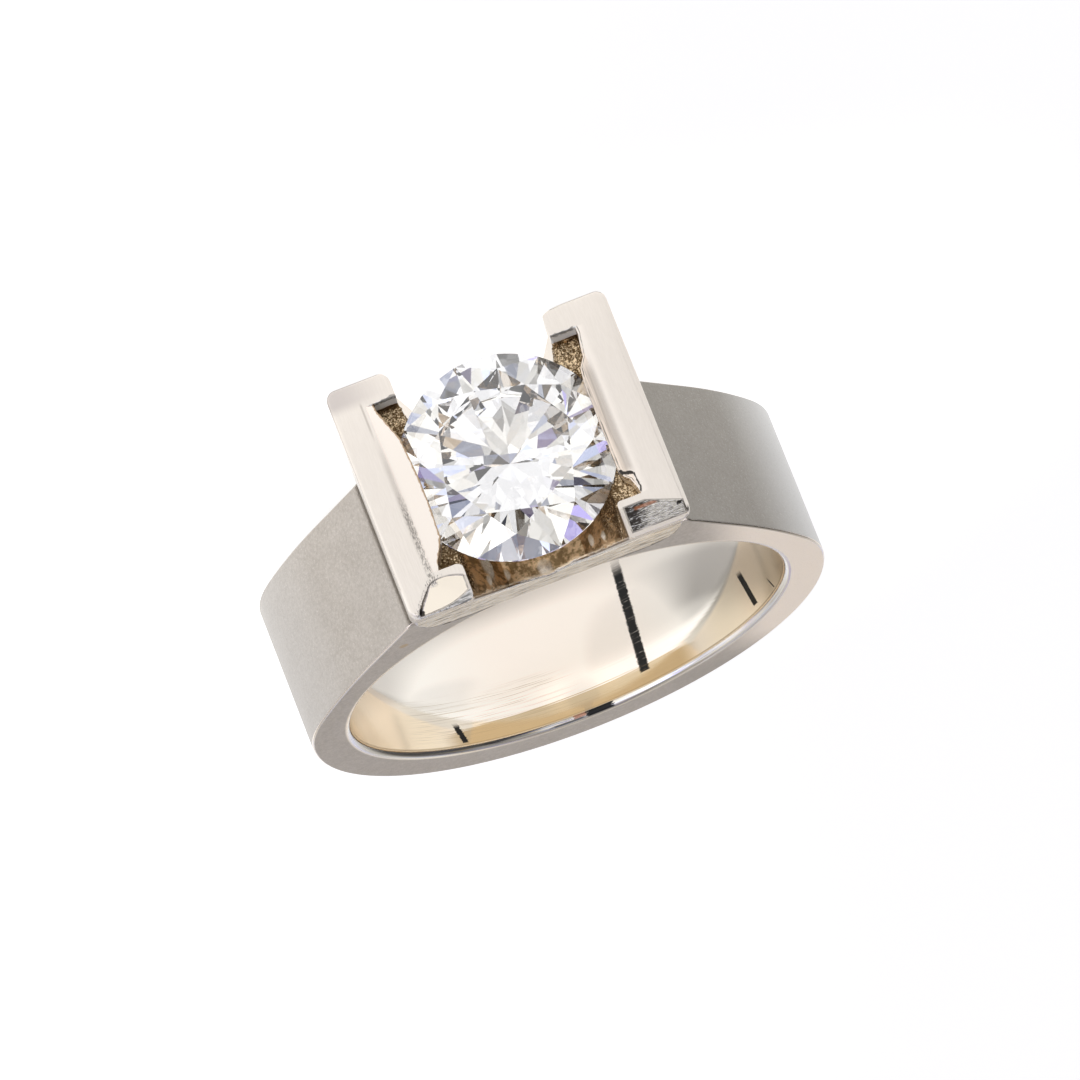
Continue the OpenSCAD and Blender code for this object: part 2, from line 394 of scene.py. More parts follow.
def lip_slope_cutter(side, section):
    """What the lip's sloping top takes off the bar."""
    outline = [(side * x, BAR_Z - drop) for x, drop in section]
    last_x, last_drop = section[-1]
    before_x, before_drop = section[-2]
    slope = (last_drop - before_drop) / (before_x - last_x)
    inner = GAP_X - 0.5
    outline += [(side * inner, BAR_Z - last_drop - slope * (last_x - inner)),
                (side * inner, BAR_Z + 1), (side * section[0][0], BAR_Z + 1)]
    return prism("lip_cutter", outline, -FAR_RETURN_Y, NEAR_RETURN_Y, "Y")


def facet_cutter(side, outline):
    """The facet filed on one bar's fingertip end."""
    body = prism("facet_cutter", [(side * x, y) for x, y in outline], 10, 20, "Z")
    fall = math.tan(FACET_SLOPE)
    for v in body.data.vertices:
        if v.co.z < 15:
            v.co.z = BAR_Z - (v.co.y - FACET_Y) * fall
    return body


def seat_cutter():
    """The stone's outline turned about its axis and grown by the clearance."""
    r_out = STONE_R + SEAT_GAP
    crown_z0 = GIRDLE_Z + GIRDLE_T / 2
    pavilion_z0 = GIRDLE_Z - GIRDLE_T / 2
    star_r = TABLE_R + STAR_SHARE * (STONE_R - TABLE_R)
    star_z = crown_z0 + (STONE_R - star_r * math.cos(math.pi / 8)) * math.tan(CROWN_SLOPE)
    upper = math.atan((star_z - crown_z0) / (STONE_R - star_r))
    crown_up = crown_z0 + SEAT_GAP / math.cos(upper)
    pavilion_down = pavilion_z0 - SEAT_GAP / math.cos(PAVILION_SLOPE)
    outline = [(0, pavilion_down - STONE_R * math.tan(PAVILION_SLOPE)),
               (r_out, pavilion_down + SEAT_GAP * math.tan(PAVILION_SLOPE)),
               (r_out, crown_up - SEAT_GAP * math.tan(upper)),
               (0, crown_up + STONE_R * math.tan(upper))]
    return revolve("seat_cutter", outline, (0, -STONE_OFF), 128)


def corner_cutter(side, edge, wide, deep, low):
    """Rounds the far inner corner of one bar's returned end, so far across and so far along it. The
    end starts at edge, and the rounding at the height low."""
    past = 0.1
    outline = [(GAP_X - past, edge - past), (GAP_X - past, edge + deep)]
    for k in range(13):
        a = math.radians(180 + 90 * k / 12)
        outline.append((GAP_X + wide + wide * math.cos(a), edge + deep + deep * math.sin(a)))
    outline.append((GAP_X + wide, edge - past))
    return prism("corner_cutter", [(side * x, y) for x, y in outline], low, BAR_Z + 1, "Z")


def wall_y(top_y, z):
    """How far along the finger the head's front or back stands at one height, by how far at its top."""
    return HALF_W + (top_y - HALF_W) * min(1, max(0, (z - FOOT_Z) / (FLARE_Z - FOOT_Z)))


def near_corner_cutter(side, r):
    """Rounds the inner fingertip corner of one bar's returned end, more towards the top."""
    past = 0.1
    rings = []
    for z, share in ((TROUGH_TOP_Z - 0.1, 0.05), (14.3, 0.4), (14.8, 1), (FLARE_Z, 1), (BAR_Z + 1, 1)):
        corner = r * share
        edge = wall_y(NEAR_Y, z)
        ring = [(GAP_X - past, edge + past), (GAP_X - past, edge - corner)]
        for k in range(9):
            a = math.radians(180 - 90 * k / 8)
            ring.append((GAP_X + corner + corner * math.cos(a), edge - corner + corner * math.sin(a)))
        ring.append((GAP_X + corner, edge + past))
        rings.append([(side * x, y, z) for x, y in ring])
    return loft("near_corner_cutter", rings)


def head_edge_share(at):
    """How far an edge of the head is worn round, against the most."""
    if at.y > 3.3 and at.z > 15 and abs(at.x) < 3.36:
        return 0
    if at.y > 4.2 and 14.9 < at.z < 15.4:
        return 1.0
    return 0.4


def ring_head():
    """The head: two bracket bars on legs, with lips, ledges, filed facets and the trough between."""
    body = head_body()
    carve(body, [trough_cutter(),
                 window_cutter(1, LIP_POS, POCKET_POS, 3),
                 window_cutter(-1, LIP_NEG, POCKET_NEG, 5),
                 lip_slope_cutter(1, LIP_TOP_POS),
                 lip_slope_cutter(-1, LIP_TOP_NEG),
                 facet_cutter(1, FACET_POS),
                 facet_cutter(-1, FACET_NEG),
                 corner_cutter(1, -FAR_Y, 0.45, 0.45, 11),
                 corner_cutter(-1, -FAR_Y, 1.1, 0.25, 11),
                 corner_cutter(1, NEAR_RETURN_Y, 0.3, 0.2, LEDGE_Z),
                 corner_cutter(-1, NEAR_RETURN_Y, 0.16, 0.16, LEDGE_Z),
                 near_corner_cutter(1, 0.3),
                 near_corner_cutter(-1, 0.2),
                 seat_cutter()])
    weld(body, 1e-4)
    soften(body, 0.075, 4, math.radians(28), head_edge_share)
    return body


def gallery_section():
    """The gallery's section from one lip over its ledge, down to the crease and up to the other lip:
    places in (x, z), each with the way it faces."""
    corners = [(3.98, LEDGE_Z), (GAP_X, LEDGE_Z), (GAP_X, TROUGH_TOP_Z),
               (TROUGH_FLOOR_X, TROUGH_FLOOR_Z), (0, CREASE_Z)]
    corners += [(-x, z) for x, z in reversed(corners[:-1])]
    places = []
    faces = []
    for start, end in zip(corners, corners[1:]):
        start, end = Vector(start), Vector(end)
        way = (end - start).normalized()
        count = round((end - start).length / SKIN_STEP)
        places += [start.lerp(end, k / count) for k in range(count)]
        faces += [Vector((way.y, -way.x))] * count
    round_over = 4
    smooth = []
    for k in range(len(faces)):
        near = faces[max(0, k - round_over):k + round_over + 1]
        smooth.append(sum(near, Vector((0, 0))).normalized())
    return list(zip(places, smooth))


def skin_rise(at):
    """How coarse and how pale the cast skin is at a place, painted pale as the light its lumps catch, and
    how far it stands up.
    """
    coarse = min(1, max(0.12, (at.z - 12.8) / 1.2))
    pale = 0
    lumps = 0
    for centre, reach, height, grainy, paleness in LUMPS:
        near = math.exp(-((at - Vector(centre)).length / reach) ** 2)
        lumps += height * near
        coarse = max(coarse, near * grainy)
        pale = max(pale, near * paleness)
    grains = (max(0, noise.noise(at * 9)) * 0.11 + noise.noise(at * 15) * 0.02) * coarse
    return coarse, pale, grains + lumps + noise.noise(at * 1.6) * 0.04


def cast_skin():
    """The grainy skin of the casting inside the gallery, from ledge to ledge."""
    section = gallery_section()
    rows = 150
    reach = GIRDLE_Z - GIRDLE_T / 2 - 0.025
    points = []
    shares = []
    for (x, z), out in section:
        share = min(1, max(0, (TROUGH_TOP_Z - z) / 0.4))
        wander = 0.1 * noise.noise(Vector((x * 2.5, 0, z * 2.5)))
        low = -FAR_RETURN_Y * (1 - share) - (wall_y(FAR_Y, z) - 0.75) * share
        high = (NEAR_RETURN_Y - 0.01) * (1 - share) + (wall_y(NEAR_Y, z) - 0.07 + wander) * share
        for k in range(rows + 1):
            y = low + (high - low) * k / rows
            coarse, pale, rise = skin_rise(Vector((x, y, z)))
            edge = min(1, k / 3, (rows - k) / 3)
            rise = (rise + SKIN_LIFT) * edge - 0.02
            at = Vector((x, z)) + out * rise
            r = math.hypot(at.x, y + STONE_OFF)
            if r < STONE_R:
                at.y = min(at.y, reach - (STONE_R - r) * math.tan(PAVILION_SLOPE))
            points.append((at.x, y, at.y))
            shares += (coarse, pale, 0, 1)
    wide = rows + 1
    faces = [(i * wide + k, i * wide + k + 1, (i + 1) * wide + k + 1, (i + 1) * wide + k)
             for i in range(len(section) - 1) for k in range(rows)]
    obj = new_object("cast_skin", points, faces)
    obj.data.shade_smooth()
    skin = obj.data.attributes.new("skin", "FLOAT_COLOR", "POINT")
    skin.data.foreach_set("color", shares)
    return obj


def eight_points(r, z, turn):
    turns = [STONE_TURN + turn + math.pi * k / 4 for k in range(8)]
    return [(r * math.cos(a), r * math.sin(a) - STONE_OFF, z) for a in turns]


def girdle_ring(apex_r, apex_z, corner_z):
    """Points round the girdle's edge, scalloped by the facets that meet it: each runs from an apex
    down or up to two corners."""
    half = math.pi / 16
    slope = (apex_z - corner_z) / ((STONE_R - apex_r) * math.cos(half))
    ring = []
    for k in range(16 * ARC_STEPS):
        off = (k % ARC_STEPS / ARC_STEPS - 0.5) * 2 * half
        z = corner_z - slope * STONE_R * (math.cos(off) - math.cos(half))
        a = STONE_TURN + math.pi * k / (8 * ARC_STEPS)
        ring.append((STONE_R * math.cos(a), STONE_R * math.sin(a) - STONE_OFF, z))
    return ring


def brilliant():
    """The round brilliant: table, stars, kites, upper halves, girdle, lower halves and mains."""
    half = math.pi / 8
    crown_z0 = GIRDLE_Z + GIRDLE_CORNER_T / 2
    pavilion_z0 = GIRDLE_Z - GIRDLE_CORNER_T / 2
    table_z = crown_z0 + (STONE_R - TABLE_R) * math.tan(CROWN_SLOPE)
    culet_z = pavilion_z0 - STONE_R * math.tan(PAVILION_SLOPE)
    star_r = TABLE_R + STAR_SHARE * (STONE_R - TABLE_R)
    star_z = crown_z0 + (STONE_R - star_r * math.cos(half)) * math.tan(CROWN_SLOPE)
    lower_r = LOWER_SHARE * STONE_R
    lower_z = culet_z + lower_r * math.cos(half) * math.tan(PAVILION_SLOPE)
    n = 16 * ARC_STEPS
    points = (eight_points(TABLE_R, table_z, 0) + eight_points(star_r, star_z, half)
              + eight_points(lower_r, lower_z, half) + [(0, -STONE_OFF, culet_z)]
              + girdle_ring(star_r, star_z, crown_z0) + girdle_ring(lower_r, lower_z, pavilion_z0))
    star, low, culet, upper, under = 8, 16, 24, 25, 25 + n
    faces = [tuple(range(8))]
    for k in range(8):
        a = 2 * k * ARC_STEPS
        b = a + ARC_STEPS
        first = [(a + i) % n for i in range(ARC_STEPS + 1)]
        second = [(b + i) % n for i in range(ARC_STEPS + 1)]
        faces += [(k, (k + 1) % 8, star + k),
                  (k, star + k, upper + a, star + (k + 7) % 8),
                  (star + k, *[upper + i for i in first]), (star + k, *[upper + i for i in second]),
                  (low + k, *[under + i for i in first]), (low + k, *[under + i for i in second]),
                  (under + a, low + k, culet, low + (k + 7) % 8)]
    for k in range(n):
        faces.append((upper + k, upper + (k + 1) % n, under + (k + 1) % n, under + k))
    return outward(new_object("brilliant_stone", points, faces))


def feed(node, values):
    """Sets a node's inputs by name or number, or links them."""
    for key, value in values.items():
        if isinstance(value, Wire):
            value.tree.links.new(value.socket, node.inputs[key])
        else:
            node.inputs[key].default_value = value


class Wire:
    """A socket in a node tree. Arithmetic on it adds Math nodes, and node() adds any other node."""

    def __init__(self, tree, socket=None):
        self.tree = tree
        self.socket = socket

    def node(self, kind, inputs=None, settings=None, out=0):
        made = self.tree.nodes.new("ShaderNode" + kind)
        for name, value in (settings or {}).items():
            if name == "stops":
                while len(made.color_ramp.elements) < len(value):
                    made.color_ramp.elements.new(0.5)
                for stop, (at, colour) in zip(made.color_ramp.elements, value):
                    stop.position = at
                    stop.color = colour
            else:
                setattr(made, name, value)
        feed(made, inputs or {})
        return Wire(self.tree, made.outputs[out])

    def math(self, operation, *values):
        return self.node("Math", dict(enumerate(values)), {"operation": operation})

    def __add__(self, other):
        return self.math("ADD", self, other)

    def __sub__(self, other):
        return self.math("SUBTRACT", self, other)

    def __rsub__(self, other):
        return self.math("SUBTRACT", other, self)

    def __mul__(self, other):
        return self.math("MULTIPLY", self, other)

    __radd__ = __add__
    __rmul__ = __mul__

    def step(self, low, high):
        """0 below low, 1 above high, smooth between."""
        return self.node("MapRange", {"Value": self, "From Min": low, "From Max": high},
                         {"interpolation_type": "SMOOTHSTEP"})

    def fall(self, low, high):
        """1 below low, 0 above high, smooth between."""
        return 1 - self.step(low, high)

    def away(self):
        """How far from 0, whichever way."""
        return self.math("ABSOLUTE", self)

    def near(self, centre, half, soft):
        """1 within half of the centre, falling to 0 over soft."""
        return (self - centre).away().fall(half, half + soft)

    def most(self, other):
        return self.math("MAXIMUM", self, other)

    def blend(self, first, second):
        """Two colours mixed by this mask."""
        return self.node("Mix", {"Factor": self, 6: first, 7: second}, {"data_type": "RGBA"}, out=2)


def bench_place(tree):
    """Where a point lies at the bench, in millimetres: as one, across, along the finger, and up."""
    where = Wire(tree).node("TexCoord", out=3)
    place = where.node("Mapping", {"Vector": where, "Location": LAID.translation,
                                   "Rotation": (math.pi / 2 - TILT, 0, 0), "Scale": (MM, MM, MM)},
                       {"vector_type": "TEXTURE"})
    return place, *[place.node("SeparateXYZ", {0: place}, out=k) for k in range(3)]


def from_axis(x, z):
    """How far a point lies from the bore's axis."""
    square = x * x + z * z
    return square.math("SQRT", square)


def stretched(place, scale, detail=3.0, roughness=0.5, turn=0.0):
    """Noise whose grain has its own fineness along each bench axis, per millimetre, turned about the
    upright one."""
    at = place.node("Mapping", {"Vector": place, "Rotation": (0, 0, turn), "Scale": scale})
    return at.node("TexNoise", {"Vector": at, "Scale": 1.0, "Detail": detail, "Roughness": roughness})


def traced(along, points):
    """The second number of each point, as it changes along the first."""
    low, high = points[0][0], points[-1][0]
    most = 5
    stops = [((at - low) / (high - low), (value / most, value / most, value / most, 1))
             for at, value in points]
    share = (along - low) * (1 / (high - low))
    return share.node("ValToRGB", {"Fac": share}, {"stops": stops}) * most


def layered(colour, coats):
    """A colour with coats over it, in order: how much of each shows, and its colour."""
    for share, coat in coats:
        colour = share.blend(colour, coat)
    return colour


def new_material(name):
    material = bpy.data.materials.new(name)
    material.use_nodes = True
    tree = material.node_tree
    return material, tree, tree.nodes["Principled BSDF"]


def raised(height, strength, depth):
    """A bump of this height, at most so many metres deep."""
    return height.node("Bump", {"Strength": strength, "Distance": depth, "Height": height})


# Gold that is polished or worn bright, or scratched; tints painted as the bore's reflections; a silver
# painted highlight and a pale silver edge; and a dark gold for specks and painted shade
POLISHED_GOLD = (0.86, 0.785, 0.70, 1)
WARM_REFLECTION_TINT = (0.98, 0.88, 0.72, 1)
COOL_REFLECTION_TINT = (0.85, 0.825, 0.765, 1)
SILVER_HIGHLIGHT = (0.84, 0.83, 0.82, 1)
SILVERED_EDGE = (0.84, 0.82, 0.78, 1)
GOLD_REFLECTION_TINT = (0.58, 0.46, 0.30, 1)
SCRATCHED_GOLD = (0.44, 0.34, 0.21, 1)
SPECK_AND_SHADE_GOLD = (0.42, 0.375, 0.33, 1)

# The band's satin and its glints, and the painted shade and painted highlights that change it round
# the ring
DARK_SATIN = (0.39, 0.355, 0.31, 1)
LIGHT_SATIN = (0.54, 0.50, 0.45, 1)
SATIN_GLINT = (0.78, 0.76, 0.72, 1)
SHADED_SATIN = (0.19, 0.185, 0.165, 1)
SHADED_RIM = (0.27, 0.25, 0.22, 1)
LIT_FLANK = (0.78, 0.78, 0.77, 1)
HALF_LIT_FLANK = (0.62, 0.615, 0.60, 1)

# The head's bars and lips, its front, flanks and far end, and its filed facets, with light, shade,
# highlights and reflections painted on some of them
DARK_BRUSHED = (0.84, 0.78, 0.705, 1)
LIGHT_BRUSHED = (0.88, 0.82, 0.745, 1)
LIT_RIDGE = (0.97, 0.90, 0.82, 1)
SHADED_BAR = (0.76, 0.70, 0.63, 1)
LIP_POLISH = (0.945, 0.87, 0.785, 1)
PEACH = (0.78, 0.63, 0.50, 1)
EDGE_BROWN = (0.36, 0.22, 0.09, 1)
RIM_SHADE = (0.12, 0.10, 0.085, 1)
HEAD_FLANK = (0.55, 0.515, 0.465, 1)
DARK_FRONT = (0.50, 0.46, 0.41, 1)
LIGHT_FRONT = (0.62, 0.58, 0.52, 1)
DARK_STREAK = (0.40, 0.38, 0.35, 1)
LIGHT_STREAK = (0.66, 0.64, 0.61, 1)
MOTTLED = (0.16, 0.165, 0.16, 1)
PALE_WALL = (0.92, 0.92, 0.90, 1)
FAR_END_SHADE = (0.58, 0.53, 0.50, 1)
FILED_GOLD = (0.80, 0.745, 0.68, 1)
MIRROR_GREY = (0.52, 0.52, 0.47, 1)
FILE_GLEAM = (0.95, 0.95, 0.93, 1)

# The gallery's cast skin with its painted highlights, dirt, painted shade and painted reflections
CAST_SKIN = (0.15, 0.095, 0.045, 1)
WORN_SKIN = (0.34, 0.235, 0.12, 1)
DEEP_SKIN = (0.84, 0.62, 0.38, 1)
CAST_GLINT = (0.98, 0.77, 0.50, 1)
LIT_LUMP = (1.0, 0.90, 0.74, 1)
BRINK_HIGHLIGHT = (1.0, 0.85, 0.62, 1)
TARNISH_AND_SHADE = (0.05, 0.045, 0.04, 1)
LINE_AND_NICK_BLACK = (0.03, 0.03, 0.03, 1)
STAIN = (0.45, 0.30, 0.12, 1)
RUST = (0.45, 0.17, 0.08, 1)
RED_REFLECTION = (0.42, 0.16, 0.07, 1)

# Dark lines in the bore, painted reflections, the main one and its mirrored repeats: the middle's turn
# from the palm in degrees, how that leans along the finger, half the width, start, end, how ragged, how
# soft the start
DARK_REFLECTION_LINE = (-19.8, 0.69, 1.35, -2.5, 2.2, 1.5, 0.8)
REPEATS = [(-55.1, -1.4, 1.1, 0.85, 2.45, 0.75, 0.25), (36.5, -1.55, 0.9, 1.7, 2.6, 1.5, 0.25),
           (-59.3, -4.49, 0.35, 2.0, 2.6, 0, 0.25)]
# The bore mirrors itself beyond y = MIRROR_REACH times the turn's cosine, less MIRROR_DROP
MIRROR_REACH = 5.57
MIRROR_DROP = 2.6
# The lower edge of the head's foot on the band's rim: across, height over FOOT_LOW
FOOT_LOW = 8
FOOT_LINE = [(0, 0.58), (3.6, 0.58), (4.2, 0.64), (4.67, 0.84), (4.92, 1.07), (5.08, 1.4), (5.25, 1.9)]
# How far the head's front and back lean out, per millimetre up
FRONT_LEAN = 0.306
BACK_LEAN = 0.335


def bore_noise(turn, y, across, along):
    """Noise in the bore, by how fine it is round the bore and along the finger."""
    at = turn.node("CombineXYZ", {0: turn * across, 1: y * along})
    return at.node("TexNoise", {"Vector": at, "Scale": 1.0, "Detail": 3.0})


def bore_line(turn, y, jitter, middle, lean, half, start, end, ragged, soft):
    """A thin dark line in the bore, painted as a reflection, with its sides torn by the jitter."""
    off = (turn - (y * lean + middle)).away() - jitter * ragged
    long = y.step(start, start + soft) * y.fall(end - 0.04, end)
    return off.near(0, half * 0.8, half * 0.3) * long


def band_place(tree):
    """Where a point lies on the band, whether that is in the bore, and the grain of the satin."""
    place, x, y, z = bench_place(tree)
    radius = from_axis(x, z)
    bored = radius.fall(BORE_R + 0.14, BORE_R + 0.3)
    return SimpleNamespace(
        place=place, x=x, y=y, z=z, radius=radius, bored=bored, outside=1 - bored,
        turn=x.math("ARCTAN2", x, 0 - z) * (180 / math.pi),
        grain=stretched(place, (7, 7, 7), 4), fine=stretched(place, (16, 16, 16), 3, 0.7))


def bore_marks(at):
    """The bore's dark line and its mirrored repeats, painted as reflections of something dark; its nick,
    its reddish mark and scratches; tints painted as its reflections, cooler where it mirrors once and
    warmer or more golden where twice; and painted shade along its near edge.
    """
    turn, y, bored = at.turn, at.y, at.bored
    jitter = bore_noise(turn, y, 0.9, 24) - 0.5
    lines = bore_noise(turn, y, 0.05, 22)
    # the main dark line, a painted reflection of something dark
    dark = bore_line(turn, y, jitter, *DARK_REFLECTION_LINE)
    dark = dark * (1 - lines.step(0.58, 0.66) * jitter.step(-0.1, 0.1) * 0.45)
    for repeat in REPEATS:
        dark = dark.most(bore_line(turn, y, jitter, *repeat))
    nick = (turn + 4 + jitter * 3).near(0, 3.2, 0.8) * y.near(2.8, 0.085, 0.03)
    nick = nick.most((turn - 4.5 + jitter * 4).near(0, 3.6, 1.5) * y.near(2.86, 0.02, 0.02) * 0.7)

    angle = turn * (math.pi / 180)
    once = (MIRROR_REACH * angle.math("COSINE", angle) - MIRROR_DROP - y).step(-0.1, 0.1)
    fillet = bored * y.step(2.66, 2.7)
    reflection_lift = ((turn.away() - 26) * 0.02).most(0)
    # gold painted near the rim in the middle, as the tint of the bore mirrored twice
    gold_reflection = bored * (y - reflection_lift + (lines - 0.5) * 0.4).step(1.9, 2.0) * turn.near(2, 30, 8)
    return SimpleNamespace(
        lines=lines, fillet=fillet, dark=(dark * bored).most(nick),
        reddish=(turn - 1.2 + jitter * 2).near(0, 1.4, 0.6) * y.near(2.77, 0.05, 0.03),
        # tints painted as the bore's reflections: cooler where it mirrors once, warmer where twice
        cool_reflection=bored * once * turn.away().step(12, 40) * 0.8,
        warm=bored * (1 - once) * turn.away().step(30, 44),
        gold_reflection=gold_reflection * (1 - fillet),
        scratched=bored * lines.step(0.5, 0.66) * turn.near(24, 14, 14) * y.near(1.55, 0.6, 0.5),
        rolled=bored * y.near(2.665, 0.015, 0.03),
        # painted shade along the rounding of the near inner edge
        groove=at.radius.near(BORE_R + 0.18, 0.03, 0.04) * y.step(2.75, 2.85) * turn.fall(10, 35))


def rim_marks(at):
    """The rim with its worn edge, painted bright as its highlight, one end worn smoother and painted
    brighter as a highlight, painted shade on its lower part, its stain, and the solder line round the
    head's foot."""
    x, y, z = at.x, at.y, at.z
    rim = y.step(2.9, 2.93) * at.outside
    over_foot = z - (traced(x.away(), FOOT_LINE) + FOOT_LOW) + (at.grain - 0.5) * 0.08
    from_stain = (x - 5.86) * (x - 5.86) + (z - 7.92) * (z - 7.92) + (at.fine - 0.5) * 0.05
    return SimpleNamespace(
        rim=rim,
        # the worn outer edge, painted bright as its highlight
        edge=y.step(2.84, 2.87) * y.fall(2.925, 2.934) * at.outside,
        # one end of the rim, worn smoother and painted brighter as a highlight
        rubbed_and_lit=rim * (0 - x).step(5.4, 7.8) * z.step(-9.0, -6.0),
        # painted shade on the lower part of the rim, towards -x
        painted_shade=rim * (0 - x).step(2.5, 4.5) * z.fall(-8.4, -7.0),
        stain=rim * from_stain.fall(0.01, 0.05),
        solder=rim * over_foot.near(0, 0.02, 0.05) * x.away().near(0, 5.2, 0.1))


def satin_gold(at, rim):
    """The satin outside and on the rims, with painted shade on one shoulder and painted highlights on
    both flanks.
    """
    x = at.x
    flat = 1 - rim
    cloud = stretched(at.place, (0.8, 0.8, 0.8), 3)
    tone = at.grain.step(0.3, 0.7) * 0.5 + at.fine.step(0.3, 0.7) * 0.3 + cloud.step(0.3, 0.7) * 0.2
    return layered(tone.blend(DARK_SATIN, LIGHT_SATIN), [
        # painted shade darkens the shoulder towards -x, and painted highlights lighten both flanks
        ((0 - x).step(3.0, 6.0) * flat * at.outside * 0.45, SHADED_SATIN),
        ((0 - x).step(8.0, 11.0) * flat, LIT_FLANK),
        (x.step(7.5, 10.0) * flat * 0.35, HALF_LIT_FLANK)])


def band_gold():
    """Satin outside and on the rims, mirror polish in the bore and round its edges."""
    material, tree, shader = new_material("white_gold_band")
    at = band_place(tree)
    bored, outside, grain, fine = at.bored, at.outside, at.grain, at.fine
    bore = bore_marks(at)
    rim = rim_marks(at)
    colour = layered(satin_gold(at, rim.rim), [
        (bored, POLISHED_GOLD),
        # the worn end of the rim, painted brighter as a highlight
        (rim.rubbed_and_lit, POLISHED_GOLD),
        (outside * fine.fall(0.34, 0.42) * 0.4, SPECK_AND_SHADE_GOLD),
        (outside * fine.step(0.62, 0.68) * 0.4, SATIN_GLINT),
        # the worn outer edge, painted bright as its highlight
        (rim.edge, POLISHED_GOLD),
        # tints painted as the colour of the bore's reflections
        (bore.cool_reflection, COOL_REFLECTION_TINT),
        (bore.warm, WARM_REFLECTION_TINT),
        (bore.fillet * 0.8, SILVERED_EDGE),
        # painted shade on the lower part of the rim
        (rim.painted_shade * 0.25, SHADED_RIM),
        # gold painted as the tint of the bore mirrored twice
        (bore.gold_reflection, GOLD_REFLECTION_TINT),
        (bore.scratched * 0.5, SCRATCHED_GOLD),
        (bore.rolled * 0.7, SCRATCHED_GOLD),
        # painted shade along the rounding of the near inner edge
        (bore.groove * 0.6, SPECK_AND_SHADE_GOLD),
        (rim.stain * 0.6, STAIN),
        (rim.solder * 0.75, TARNISH_AND_SHADE),
        (bore.reddish * 0.8, RUST),
        # near black, for the painted dark reflections and the nick
        (bore.dark, LINE_AND_NICK_BLACK)])
    polish = 0.045 + bore.lines.step(0.5, 0.8) * 0.05 + bore.warm * 0.12 + bore.fillet * 0.07
    rough = rim.edge * 0.18 + (1 - rim.edge) * (0.4 + grain * 0.1) - rim.rubbed_and_lit * 0.1
    height = (grain * 0.5 + fine * 0.9) * (outside - rim.edge) * 1.6 + bored * bore.lines * 0.02
    feed(shader, {"Base Color": colour, "Metallic": 1.0,
                  "Roughness": (bored * polish + outside * rough).most(bore.dark * 0.35),
                  "Normal": raised(height, 0.25, 0.00004)})
    return material


def head_place(tree):
    """Where a point lies on the head, and the noises that its finishes share."""
    place, x, y, z = bench_place(tree)
    left = x.step(-0.1, 0.1)
    return SimpleNamespace(
        place=place, y=y, z=z, across=x.away(), left=left, right=1 - left,
        flare=(z - FOOT_Z).most(0), top=z.step(15.2, 15.3), upper=z.step(15.02, 15.1),
        brush=stretched(place, (18, 2.2, 18), 3), grain=stretched(place, (9, 9, 9), 4, 0.6),
        speck=stretched(place, (26, 7, 26), 3, 0.7), patches=stretched(place, (1.1, 1.1, 1.1), 3),
        wander=stretched(place, (3.5, 3.5, 3.5), 3) - 0.5)


def skin_share(at):
    """1 where the head's own walls show cast skin, inside the gallery."""
    behind_front = (at.y - at.flare * FRONT_LEAN + at.wander * 0.2).fall(2.82, 2.86)
    before_back = (0 - at.y - at.flare * BACK_LEAN).fall(2.1, 2.25)
    within = at.across.fall(3.98, 4.02) * at.z.fall(14.72, 14.78) * at.z.step(9.3, 9.35)
    return within * behind_front * before_back


def lip_marks(at):
    """The two lips, and the painted light and shade, scratches and dark edge lines on and beside them."""
    y, across, left, right = at.y, at.across, at.left, at.right
    window = y.step(-3.7, -3.62) * y.fall(3.1, 3.18)
    ridge = 3.95 + left * 0.22
    lip = at.top * window * across.fall(ridge - 0.05, ridge + 0.03)
    edge = across - (left * traced(y, LIP_POS) + right * traced(y, LIP_NEG)) + at.wander * 0.06

    # painted shade along the ridges beside the lips
    left_soft = across.near(4.24, 0.02, 0.17) * y.step(-2.8, -0.8) * y.fall(1.5, 2.6) * 0.42
    left_line = across.near(4.32, 0.01, 0.05) * y.step(-3.9, -3.7) * y.fall(-3.0, -2.0) * 0.55
    lines = stretched(at.place, (16, 0.5, 16), 2)
    right_soft = across.near(3.86, 0.02, 0.26) * 0.7
    right_soft = right_soft + across.near(3.66, 0.02, 0.2) * lines.step(0.45, 0.6) * 0.5
    right_soft = right_soft * y.step(-2.6, -1.7) * y.fall(2.0, 2.4)

    scratched = at.top * left * across.near(4.22, 0.04, 0.14) * y.step(-0.5, 0.9)
    scratched = scratched * y.fall(3.45, 3.7) * at.speck.step(0.42, 0.62)
    brown = left * window * at.top * (edge + (at.grain - 0.5) * 0.12).near(0.02, 0.03, 0.03)
    black = right * window * at.top * edge.near(0.07, 0.005, 0.02) * at.patches.step(0.42, 0.56) * 0.8
    return SimpleNamespace(
        lip=lip, scratched=scratched, brown=brown, black=black,
        light=at.top * right * window * across.near(4.0, 0.1, 0.25) * 0.8,
        shade=at.top * right * across.step(4.8, 5.4) * 0.3,
        soft=at.top * (left * left_soft).most(left * left_line).most(right * right_soft),
        peach=lip * right * edge.near(0.14, 0.1, 0.12))


def ragged_edges(at):
    """The torn dark edges where the bars' returned ends meet the ledges."""
    y, across, wander = at.y, at.across, at.wander
    far = (y + wander * 0.3).near(-3.66, 0.02, 0.03) * across.near(3.45, 0.42, 0.06)
    far = far * (at.z + wander * 0.5).step(15.3, 15.4) * 0.6
    near = (y - across * 0.56 + wander * 0.3).near(0.14, 0.05, 0.04) * across.near(3.73, 0.24, 0.04)
    near = near.most((across + wander * 0.2).near(4.02, 0.01, 0.025) * y.near(2.72, 0.36, 0.06))
    return far.most(near * at.right * at.top)


